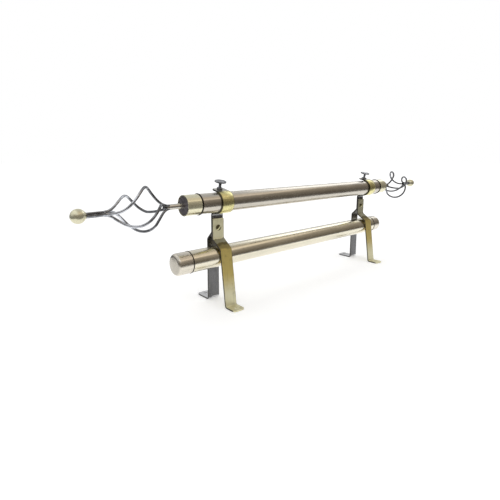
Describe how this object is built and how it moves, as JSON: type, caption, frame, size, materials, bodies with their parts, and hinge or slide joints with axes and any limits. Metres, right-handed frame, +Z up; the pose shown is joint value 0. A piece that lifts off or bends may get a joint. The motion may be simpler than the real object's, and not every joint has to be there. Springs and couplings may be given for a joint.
{
  "type": "double curtain pole",
  "caption": "Two parallel round curtain poles in bent strip brackets, with thumb screws, plain end caps and twisted wire cage finials, for hanging two layers of curtain.",
  "frame": {"origin": "middle of the four wall-screw holes, on the underside of the brackets' feet", "axes": "+X along the poles, +Y to the open side of the hooks, +Z up from the feet"},
  "size_m": [0.6802, 0.082, 0.1612],
  "materials": {
    "pole_nickel": "antique nickel plate, satin to bright",
    "cap_nickel": "nickel-plated plastic",
    "bracket_brass": "antique brass plate with dark edges",
    "ferrule_brass": "pale champagne brass, bright",
    "wire_steel": "dark plated wire",
    "screw_steel": "darkened steel",
    "plug_black": "dark moulded plug"
  },
  "bodies": {
    "pole_set": {"upper_pole": "pole_nickel", "lower_pole": "pole_nickel", "left_rear_strip": "bracket_brass", "left_front_strip": "bracket_brass", "left_joint_screw": "screw_steel", "left_joint_nut": "screw_steel", "left_thumb_nut": "screw_steel", "left_lower_cap": "cap_nickel", "left_ferrule": "ferrule_brass", "left_end_plug": "plug_black", "left_finial_stem": "ferrule_brass", "left_finial_collar": "wire_steel", "left_finial_ball": "ferrule_brass", "left_cage_wire_1": "wire_steel", "left_cage_wire_2": "wire_steel", "left_cage_wire_3": "wire_steel", "left_cage_wire_4": "wire_steel", "right_rear_strip": "bracket_brass", "right_front_strip": "bracket_brass", "right_joint_screw": "screw_steel", "right_joint_nut": "screw_steel", "right_thumb_nut": "screw_steel", "right_lower_cap": "cap_nickel", "right_ferrule": "ferrule_brass", "right_end_plug": "plug_black", "right_finial_stem": "ferrule_brass", "right_finial_collar": "wire_steel", "right_finial_ball": "ferrule_brass", "right_cage_wire_1": "wire_steel", "right_cage_wire_2": "wire_steel", "right_cage_wire_3": "wire_steel", "right_cage_wire_4": "wire_steel"},
    "left_thumb_screw": {"left_thumb_screw": "screw_steel"},
    "right_thumb_screw": {"right_thumb_screw": "screw_steel"}
  },
  "joints": [
    {"name": "left_thumb_turn", "type": "hinge", "parent": "pole_set", "child": "left_thumb_screw", "pos_m": [-0.1625, -0.00098, 0.14807], "axis": [0, -0.2079, 0.9781], "range_deg": [0, 720]},
    {"name": "right_thumb_turn", "type": "hinge", "parent": "pole_set", "child": "right_thumb_screw", "pos_m": [0.1625, -0.00098, 0.14807], "axis": [0, -0.2079, 0.9781], "range_deg": [0, 720]}
  ]
}
